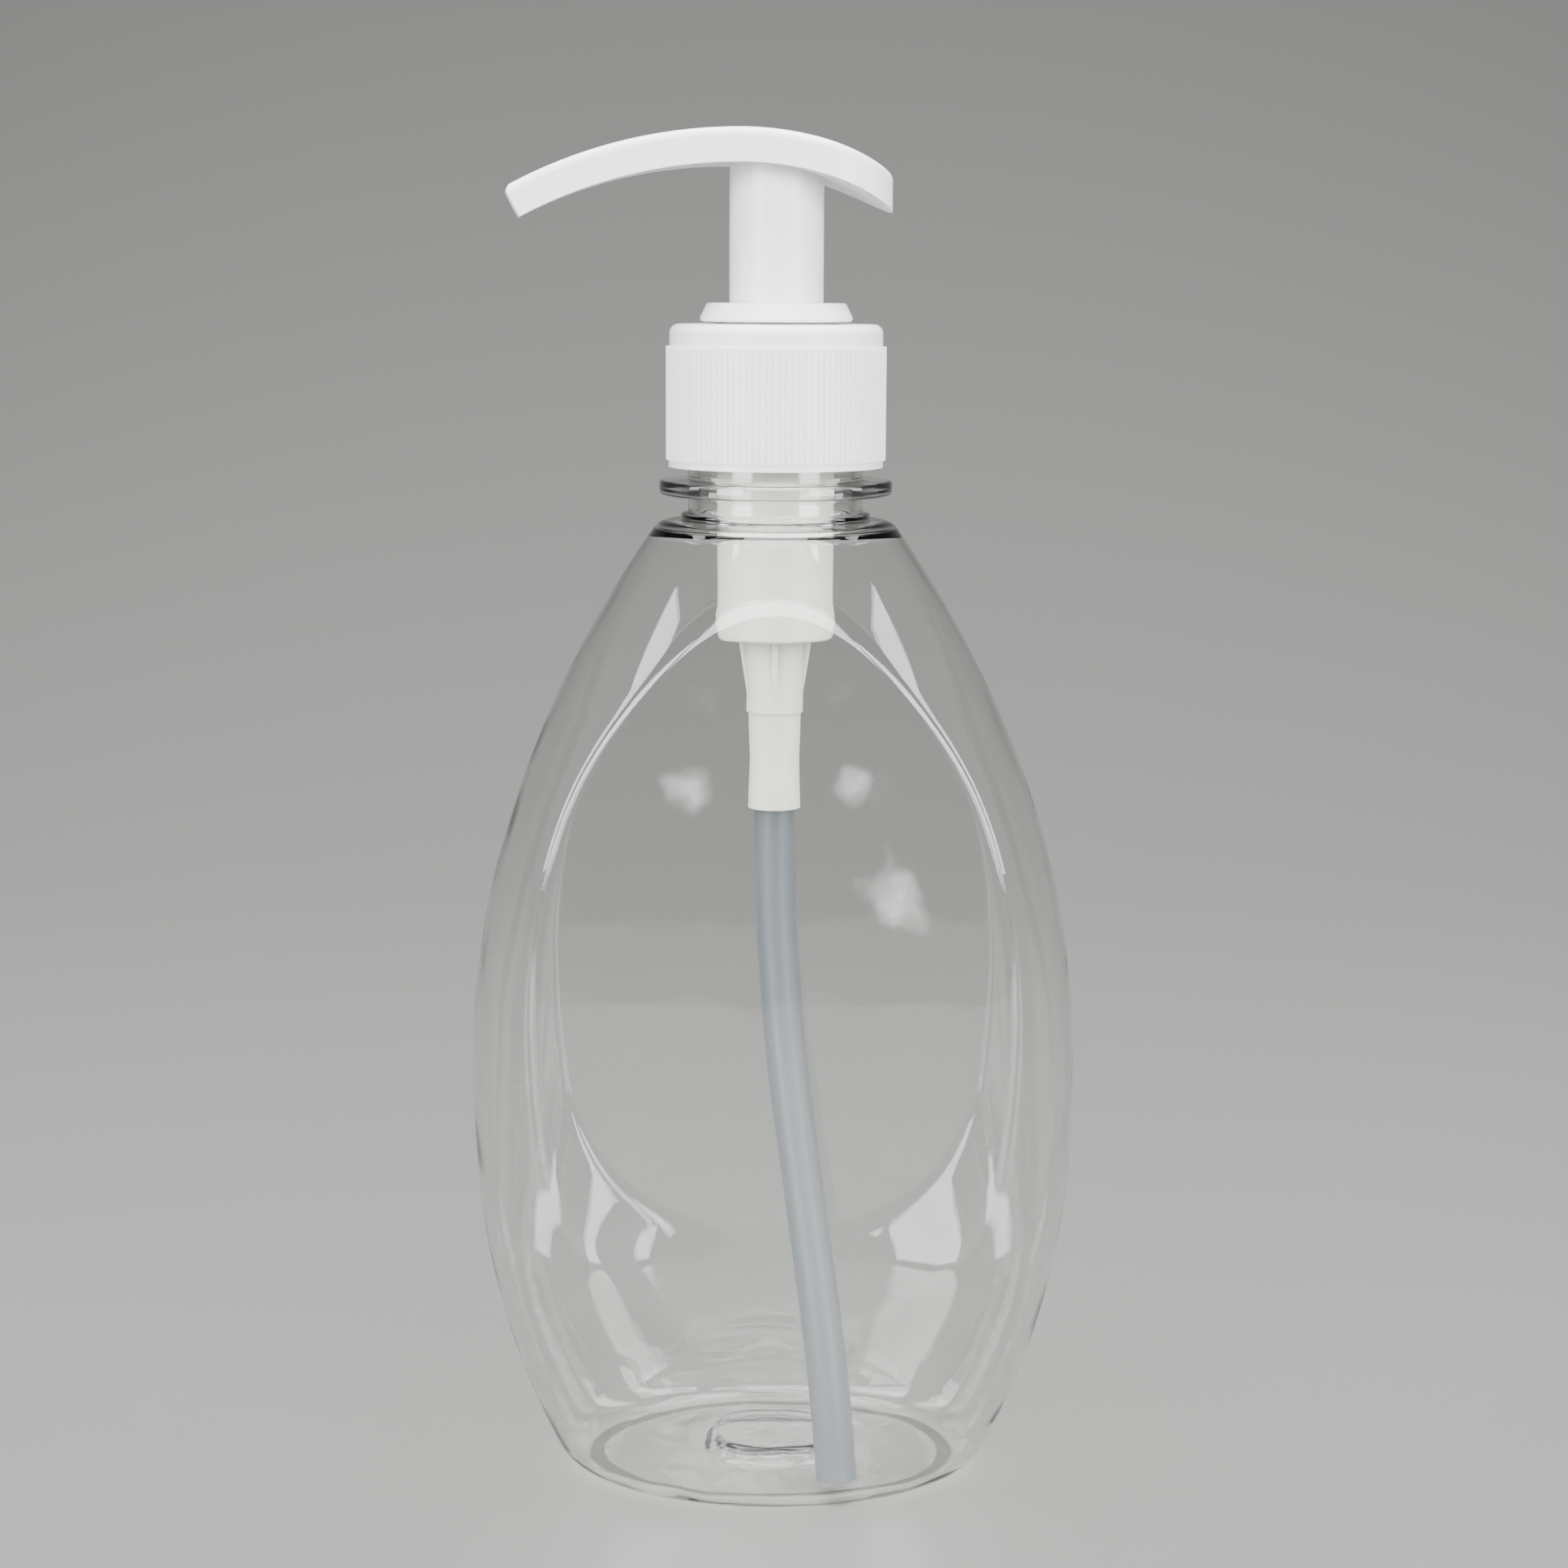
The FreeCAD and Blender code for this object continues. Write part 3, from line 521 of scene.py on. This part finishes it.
@dataclass
class Bottle:
    """The clear bottle: an oval egg with two flat panels, a pushed-up base and a threaded neck.

    Attributes:
        half_width: half of the greatest width.
        height: height of the shoulder.
        half_panel: half of the depth between the flat panels.
        base_half_width: half width at the foot.
        shoulder: half width where the shoulder meets the neck.
        widest: share of the height at the widest place.
        draw_in_power: how late the width draws in towards the foot.
        shoulder_power: how late it draws in towards the shoulder.
        wall: thickness of the side wall.
        base_wall: thickness of the base.
        heel: rounding between side and base.
        push_up: height of the pushed-up middle of the base.
        foot: width of the standing ring.
        neck: outer radius of the neck.
        bore: inner radius of the neck.
        neck_root: radius of the bead at the neck's root.
        ring: radius of the support ring.
        ring_low: height of the support ring's lower face.
        ring_high: height of its upper face.
        top: height of the neck's rim.
        thread_depth: how far the thread stands out of the neck.
        thread_pitch: rise of the thread in one turn.
        thread_start: height at which the thread starts.
        thread_turns: turns of the thread.
        thread_fade: how quickly the thread rises at its ends, in depths for each turn.
        thread_crest: how far the flanks reach, in flank widths.
        thread_flank: width of each flank.
        pad_half: half sizes of the raised pad in the middle of the base, along X and Y.
        pad_rise: height of that pad.
        pad_below: height below which the wall follows that pad.
        pad_square: power of the pad's outline, 2 for an oval and more for squarer.
        pad_edge: where the pad's edge ends and how wide it is, as shares of its size.
        base_power: how flat the pushed-up middle of the base is.
        panel_blend: how far from a panel's edge the wall starts to bend into it.
        edge_limit: greatest angle of a panel's edge, and how softly it is reached.
        gather: how closely the columns gather at a panel's edge.
        uneven_height: height over which the base's uneven thickness dies out.
        uneven_side: uneven thickness of the side wall.
        uneven_base: uneven thickness that the base adds.
        uneven_size: size of the lumps in the thickness.
        uneven_lift: how far the unevenness turns upwards near the base.
        uneven_share: part of the unevenness that only thickens.
        side_end: height of the side wall's last ring.
        inner_end: height at which the shoulder's inner line ends.
        outer_spacing: height between the outer wall's rings.
        inner_spacing: height between the inner wall's rings.
        longest: greatest distance between rings at the shoulder and neck.
        heel_rings: rings round the heel.
        base_rings: rings from the middle of the base to the heel.
        columns: columns in each quarter of the wall.
        depth_shares: shares of the height, and the half depth there in half panels.
        round_from: shares of the height from which the body is round.
    """

    half_width: float = 43.7 * MM
    height: float = 139.6 * MM
    half_panel: float = 23.5 * MM
    base_half_width: float = 30.2 * MM
    shoulder: float = 16.5 * MM
    widest: float = 0.43
    draw_in_power: float = 2.5
    shoulder_power: float = 2.05
    wall: float = 0.7 * MM
    base_wall: float = 0.9 * MM
    heel: float = 3.0 * MM
    push_up: float = 1.2 * MM
    foot: float = 4.6 * MM
    neck: float = 12.4 * MM
    bore: float = 10.85 * MM
    neck_root: float = 13.35 * MM
    ring: float = 16.5 * MM
    ring_low: float = 143.2 * MM
    ring_high: float = 145.2 * MM
    top: float = 162.8 * MM
    thread_depth: float = 1.1 * MM
    thread_pitch: float = 4.233 * MM
    thread_start: float = 150.6 * MM
    thread_turns: float = 1.5
    thread_fade: float = 9.0
    thread_crest: float = 1.9
    thread_flank: float = 0.55 * MM
    pad_half: Pair = (8.6 * MM, 8.0 * MM)
    pad_rise: float = 2.0 * MM
    pad_below: float = 6.0 * MM
    pad_square: float = 3.2
    pad_edge: Pair = (1.12, 0.22)
    base_power: float = 0.6
    panel_blend: float = 1.0 * MM
    edge_limit: Pair = (1.12, 0.12)
    gather: float = 1.45
    uneven_height: float = 14.0 * MM
    uneven_side: float = 0.03 * MM
    uneven_base: float = 0.30 * MM
    uneven_size: float = 7.0 * MM
    uneven_lift: float = 30.0 * MM
    uneven_share: float = 0.4
    side_end: float = 138.3 * MM
    inner_end: float = 137.6 * MM
    outer_spacing: float = 0.85 * MM
    inner_spacing: float = 1.3 * MM
    longest: float = 0.5 * MM
    heel_rings: int = 8
    base_rings: int = 34
    columns: int = 44
    depth_shares: list[Pair] = field(default_factory=lambda: [
        (0.0, 0.945), (0.09, 0.975), (0.15, 0.99), (0.19, 1.035), (0.24, 1.19), (0.32, 1.40),
        (0.43, 1.53), (0.56, 1.63), (0.66, 1.66), (0.75, 1.56),
    ])
    round_from: tuple[float, ...] = (0.84, 0.92, 1.0)

    def __post_init__(self) -> None:
        """Solves the curve of the depth."""
        points = [(share, part * self.half_panel) for share, part in self.depth_shares]
        points += [(share, self.width_at(share)) for share in self.round_from]
        self.depth_at = SplineCurve(points)

    def width_at(self, share: float) -> float:
        """Half width of the body.

        Args:
            share: share of the height.

        Returns:
            The half width there.
        """
        if share < self.widest:
            drawn_in = (1.0 - share / self.widest) ** self.draw_in_power
            return self.half_width - (self.half_width - self.base_half_width) * drawn_in
        above = (share - self.widest) / (1.0 - self.widest)
        return self.shoulder + (self.half_width - self.shoulder) * (1.0 - above**self.shoulder_power)

    def body_row(self, height: float, inside: bool) -> Row:
        """One ring of the body.

        Args:
            height: height of the ring.
            inside: True on the inner wall.

        Returns:
            The ring.
        """
        share = height / self.height
        floor = self.base_wall if inside else 0.0
        heel = self.heel - (self.wall if inside else 0.0)
        up = height - floor
        drawn_in = heel - math.sqrt(max(0.0, heel**2 - (heel - up) ** 2)) if up < heel else 0.0
        thin = self.wall if inside else 0.0
        wide = self.width_at(share) - drawn_in - thin
        deep = self.depth_at(share) - drawn_in - thin
        return Row(wide, deep, height, self.half_panel - thin, inside)

    def body_rows(self, inside: bool, spacing: float) -> list[Row]:
        """Rings of the side wall from the foot to the shoulder's corner.

        Args:
            inside: True on the inner wall.
            spacing: height between rings.

        Returns:
            The rings, rising.
        """
        low = self.base_wall if inside else 0.0
        heel = self.heel - (self.wall if inside else 0.0)
        rows = []
        for step in range(self.heel_rings + 1):
            rise = heel * (1.0 - math.cos(QUARTER_TURN * step / self.heel_rings))
            rows.append(self.body_row(low + rise, inside))
        start, end = low + heel, self.side_end
        count = round((end - start) / spacing)
        rows += [self.body_row(start + (end - start) * (step + 1) / count, inside) for step in range(count)]
        return rows

    def base_rows(self, inside: bool) -> list[Row]:
        """Rings of the base from its middle to the foot.

        Args:
            inside: True on the inner wall.

        Returns:
            The rings, from the middle out.
        """
        foot = self.body_row(self.base_wall if inside else 0.0, inside)
        standing = (foot.wide - self.foot + self.heel * 0.5) / foot.wide
        rows = []
        for step in range(1, self.base_rings):
            share = step / self.base_rings
            wave = 0.5 + 0.5 * math.cos(math.pi * min(1.0, share / standing))
            rise = self.push_up * wave ** self.base_power
            rows.append(Row(foot.wide * share, foot.deep * share, foot.height + rise, foot.flat, inside))
        return rows

    def neck_rows(self) -> list[Row]:
        """Rings over the shoulder's corner, up the neck and down its bore.

        Returns:
            The rings from the outer shoulder to the inner shoulder.
        """
        start = self.body_row(self.side_end, False)
        end = self.body_row(self.inner_end, True)
        rim = 0.5 * MM
        outer = rounded_line([
            (start.wide, start.height, 0.0),
            (self.shoulder + 0.05 * MM, self.height, 2.8 * MM),
            (self.neck_root, self.height, 0.25 * MM),
            (self.neck_root + 0.1 * MM, self.height + 1.0 * MM, 0.45 * MM),
            (self.neck, self.height + 1.15 * MM, 0.3 * MM),
            (self.neck, self.ring_low, 0.4 * MM),
            (self.ring, self.ring_low, 0.5 * MM),
            (self.ring, self.ring_high, 0.5 * MM),
            (self.neck, self.ring_high, 0.4 * MM),
            (self.neck, self.top, rim),
            (self.bore, self.top, rim),
            (self.bore, self.height - 0.2 * MM, 1.6 * MM),
            (end.wide - 0.6 * MM, self.height - 0.7 * MM, 1.8 * MM),
            (end.wide, end.height, 0.0),
        ])
        points = [outer[0]]
        for across, up in outer[1:]:
            last = Vector(points[-1])
            gap = Vector((across, up)) - last
            parts = max(1, math.ceil(gap.length / self.longest))
            points += [tuple(last + gap * (part + 1) / parts) for part in range(parts)]
        return [Row(across, across, up, self.half_panel, False) for across, up in points[1:-1]]

    def thread_lift(self, angle: float, height: float) -> float:
        """How far the thread stands out of the neck.

        Args:
            angle: angle about the axis.
            height: height on the neck.

        Returns:
            The height of the ridge there.
        """
        turns = angle / FULL_TURN
        lift = 0.0
        while turns < self.thread_turns:
            off = abs(height - self.thread_start - self.thread_pitch * turns)
            ends = min(1.0, self.thread_fade * turns, self.thread_fade * (self.thread_turns - turns))
            ridge = max(0.0, min(1.0, self.thread_crest - off / self.thread_flank))
            lift = max(lift, ends * ridge)
            turns += 1.0
        return lift * self.thread_depth

    def edge_turn(self, row: Row) -> float:
        """Where the panel's edge falls on a ring, as the ellipse's own angle.

        Args:
            row: the ring.

        Returns:
            The angle from the side, up to a fixed greatest angle.
        """
        share = min(1.0, row.flat / max(row.deep, 1e-6))
        return soft_min(math.asin(share), *self.edge_limit)

    def spread(self, column: int, edge: float) -> float:
        """Angle of a column, with the columns gathered about the panel's edge.

        Args:
            column: column from the side, in the first quarter.
            edge: angle of the panel's edge.

        Returns:
            The ellipse's angle.
        """
        half = self.columns // 2
        if column <= half:
            return edge * (1.0 - (1.0 - column / half) ** self.gather)
        return edge + (QUARTER_TURN - edge) * ((column - half) / half) ** self.gather

    def placed(self, row: Row, column: int) -> Vector:
        """Where one point of the wall lies.

        Args:
            row: the ring.
            column: column, counted round from the side.

        Returns:
            The point.
        """
        quarter, along = divmod(column, self.columns)
        if quarter % 2:
            along = self.columns - along
        turn = self.spread(along, self.edge_turn(row))
        sign_x = 1.0 if quarter in (0, 3) else -1.0
        sign_y = 1.0 if quarter < 2 else -1.0
        wide, deep = row.wide, row.deep
        if self.ring_high < row.height < self.top and row.wide > self.neck - 0.1 * MM:
            about = math.atan2(sign_y * math.sin(turn), sign_x * math.cos(turn)) % FULL_TURN
            lift = self.thread_lift(about, row.height)
            wide, deep = wide + lift, deep + lift
        x = wide * math.cos(turn)
        y = soft_min(deep * math.sin(turn), row.flat, self.panel_blend)
        point = Vector((sign_x * x, sign_y * y, row.height))
        if row.height < self.pad_below:
            point.z += self.pad_lift(point)
        if row.inside:
            point += self.uneven(point)
        return point

    def pad_lift(self, point: Vector) -> float:
        """How far the raised pad in the middle of the base lifts a point.

        Args:
            point: the point.

        Returns:
            The lift.
        """
        power = self.pad_square
        across = (abs(point.x) / self.pad_half[0]) ** power
        along = (abs(point.y) / self.pad_half[1]) ** power
        far = (across + along) ** (1 / power)
        end, width = self.pad_edge
        share = min(1.0, max(0.0, (end - far) / width))
        return self.pad_rise * share * share * (3.0 - 2.0 * share)

    def uneven(self, point: Vector) -> Vector:
        """The inner wall's uneven thickness, most near the base.

        Args:
            point: the point.

        Returns:
            How far the point moves inwards or outwards.
        """
        low = max(0.0, 1.0 - point.z / self.uneven_height)
        amount = self.uneven_side + self.uneven_base * low
        wander = noise.noise(point / self.uneven_size) * amount
        inward = Vector((-point.x, -point.y, self.uneven_lift * low)).normalized()
        return inward * (wander + amount * self.uneven_share)

    def build(self, finishes: Finishes) -> None:
        """Builds the bottle's mesh, which rides with the CAD bottle and replaces it.

        Args:
            finishes: the shared finishes.
        """
        rows = self.base_rows(False) + self.body_rows(False, self.outer_spacing) + self.neck_rows()
        rows += self.body_rows(True, self.inner_spacing)[::-1] + self.base_rows(True)[::-1]
        mesh = bmesh.new()
        tag = mesh.verts.layers.int.new("row")
        line = [mesh.verts.new((max(row.wide, 1e-5), 0.0, row.height)) for row in rows]
        for number, vertex in enumerate(line):
            vertex[tag] = number
        edges = [mesh.edges.new(pair) for pair in zip(line, line[1:])]
        count = 4 * self.columns
        bmesh.ops.spin(mesh, geom=line + edges, cent=(0, 0, 0), axis=(0, 0, 1), angle=FULL_TURN,
                       steps=count, use_merge=True)
        for vertex in mesh.verts:
            turn = math.atan2(vertex.co.y, vertex.co.x) % FULL_TURN
            column = round(turn / FULL_TURN * count) % count
            vertex.co = self.placed(rows[vertex[tag]], column)
        rims = [edge for edge in mesh.edges if edge.is_boundary]
        bmesh.ops.holes_fill(mesh, edges=rims, sides=0)
        bmesh.ops.poke(mesh, faces=[face for face in mesh.faces if len(face.verts) > 4])
        made = piece("bottle_shell", mesh, finishes.pet)
        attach(made, "bottle")
        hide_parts("bottle")


class Pump:
    """The pump's CAD pieces, each given its own finish."""

    def build(self, finishes: Finishes, nodes: dict[str, bpy.types.Object]) -> None:
        """Dresses the carried-over pieces.

        Args:
            finishes: the shared finishes.
            nodes: the frame's nodes.
        """
        for name, finish in {
            "actuator_head": finishes.white, "closure": finishes.white, "collar": finishes.white,
            "neck_gasket": finishes.foam, "pump_housing": finishes.natural, "stem": finishes.natural,
            "piston_rod": finishes.natural, "piston_seal": finishes.seal, "dip_tube": finishes.tube,
            "inlet_ball": finishes.steel, "return_spring": finishes.wire,
        }.items():
            dress(nodes[name], finish)


@dataclass(frozen=True)
class Softbox:
    """One rectangular lamp.

    Attributes:
        name: name of the lamp.
        place: where it stands.
        aim: what it points at.
        size: its width and height.
        power: its power in watts.
    """

    name: str
    place: Triple
    aim: Triple
    size: Pair
    power: float

    def build(self) -> None:
        """Adds the lamp to the stage."""
        data = bpy.data.lights.new(self.name, "AREA")
        data.shape = "RECTANGLE"
        data.size, data.size_y = self.size
        data.energy = self.power
        made = bpy.data.objects.new(self.name, data)
        made.location = self.place
        made.rotation_euler = (Vector(self.aim) - Vector(self.place)).to_track_quat("-Z", "Y").to_euler()
        bpy.context.collection.objects.link(made)


@dataclass
class Studio:
    """The pale floor, its sweep, the lights and the room's dim light.

    Attributes:
        near: how far the floor runs towards the camera.
        far: where the floor starts to rise behind.
        sweep: radius of the rise.
        tall: height of the backdrop.
        half_width: half of the floor's width.
        flat_steps: steps of the flat floor behind the object.
        sweep_steps: steps of the rise.
        colour: colour of the floor, linear.
        roughness: roughness of the floor.
        index: refractive index of the floor's sheen.
        room_tint: colour of the room's light, linear.
        room_light: strength of the room's light.
    """

    near: float = 0.325
    far: float = 0.40
    sweep: float = 1.2
    tall: float = 2.2
    half_width: float = 1.6
    flat_steps: int = 6
    sweep_steps: int = 32
    colour: Triple = (0.150, 0.151, 0.147)
    roughness: float = 0.26
    index: float = 1.5
    room_tint: Triple = (1.0, 1.0, 0.99)
    room_light: float = 0.07

    def floor(self) -> None:
        """Builds the floor and backdrop in one sweep."""
        mesh = bmesh.new()
        line = [(-self.near, 0.0)]
        line += [(self.far * step / self.flat_steps, 0.0) for step in range(self.flat_steps + 1)]
        for step in range(1, self.sweep_steps + 1):
            turn = QUARTER_TURN * step / self.sweep_steps
            line.append((self.far + self.sweep * math.sin(turn), self.sweep * (1.0 - math.cos(turn))))
        line.append((self.far + self.sweep, self.tall))
        strip = [mesh.verts.new((-self.half_width, y, z)) for y, z in line]
        edges = [mesh.edges.new(pair) for pair in zip(strip, strip[1:])]
        grown = bmesh.ops.extrude_edge_only(mesh, edges=edges)["geom"]
        moved = [item for item in grown if isinstance(item, bmesh.types.BMVert)]
        bmesh.ops.translate(mesh, verts=moved, vec=(2.0 * self.half_width, 0.0, 0.0))
        bmesh.ops.recalc_face_normals(mesh, faces=mesh.faces)
        data = bpy.data.meshes.new("floor_sweep")
        mesh.to_mesh(data)
        mesh.free()
        made = bpy.data.objects.new("floor_sweep", data)
        bpy.context.collection.objects.link(made)
        for face in data.polygons:
            face.use_smooth = True
        dress(made, self.paper())

    def paper(self) -> bpy.types.Material:
        """Builds the floor's pale satin finish.

        Returns:
            The material.
        """
        made, nodes, links = blank_material("pale_floor")
        shader = nodes.new("ShaderNodeBsdfPrincipled")
        shader.inputs["Base Color"].default_value = (*self.colour, 1.0)
        shader.inputs["Roughness"].default_value = self.roughness
        shader.inputs["IOR"].default_value = self.index
        links.new(shader.outputs["BSDF"], nodes["Out"].inputs["Surface"])
        return made

    def build(self) -> None:
        """Builds the floor, the lights and the room."""
        self.floor()
        overhead = Softbox("overhead_softbox", (0.0, 0.0, 0.98), (0.0, 0.0, 0.0), (0.9, 0.7), 37.0)
        front = Softbox("front_softbox", (0.0, -1.30, 0.95), (0.0, 0.0, 0.16), (1.5, 0.9), 46.0)
        lamps = [overhead, front]
        body = (0.0, 0.0, 0.10)
        for side, word in ((-1.0, "left"), (1.0, "right")):
            lamps.append(Softbox(f"{word}_window", (side * 0.80, -0.78, 0.36), body, (0.56, 0.66), 16.0))
            lamps.append(Softbox(f"{word}_strip", (side * 0.90, -0.05, 0.45), body, (0.22, 0.7), 4.0))
        for lamp in lamps:
            lamp.build()
        world = bpy.data.worlds.new("studio_room")
        world.use_nodes = True
        room = world.node_tree.nodes["Background"].inputs
        room["Color"].default_value = (*self.room_tint, 1.0)
        room["Strength"].default_value = self.room_light
        bpy.context.scene.world = world


@dataclass
class Viewpoint:
    """The camera.

    Attributes:
        distance: how far in front of the bottle's axis it stands.
        height: its height over the floor.
        lens: focal length in millimetres.
        sensor: width of the sensor in millimetres.
        clip: nearest and farthest distance that the camera sees.
        pitch: how far it looks down, in degrees.
        yaw: how far it looks to the right, in degrees.
        roll: how far it leans, in degrees.
    """

    distance: float = 0.415
    height: float = 0.171
    lens: float = 67.08
    sensor: float = 36.0
    clip: Pair = (0.01, 20.0)
    pitch: float = 9.5
    yaw: float = 0.19
    roll: float = 0.27

    def build(self) -> None:
        """Adds the camera and makes it the scene's."""
        data = bpy.data.cameras.new("camera")
        data.sensor_width = self.sensor
        data.lens = self.lens
        data.clip_start, data.clip_end = self.clip
        made = bpy.data.objects.new("camera", data)
        made.location = (0.0, -self.distance, self.height)
        lean = Matrix.Rotation(math.radians(-self.yaw), 4, "Z")
        lean @= Matrix.Rotation(math.radians(90.0 - self.pitch), 4, "X")
        lean @= Matrix.Rotation(math.radians(self.roll), 4, "Z")
        made.rotation_euler = lean.to_euler()
        bpy.context.collection.objects.link(made)
        bpy.context.scene.camera = made


def corners(box: tuple[Triple, Triple]) -> list[list[float]]:
    """Turns a box into plain lists.

    Args:
        box: its lowest and highest corners.

    Returns:
        The two corners.
    """
    return [[round(float(value), 6) for value in corner] for corner in box]


def main() -> None:
    """Loads the frame, builds every piece, the studio and the camera."""
    logging.basicConfig(level=logging.INFO)
    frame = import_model()
    nodes = frame["nodes"]
    finishes = Finishes()
    Bottle().build(finishes)
    Pump().build(finishes, nodes)
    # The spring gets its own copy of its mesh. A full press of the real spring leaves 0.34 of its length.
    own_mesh(nodes["return_spring"])
    Studio().build()
    Viewpoint().build()


if __name__ == "__main__":
    main()
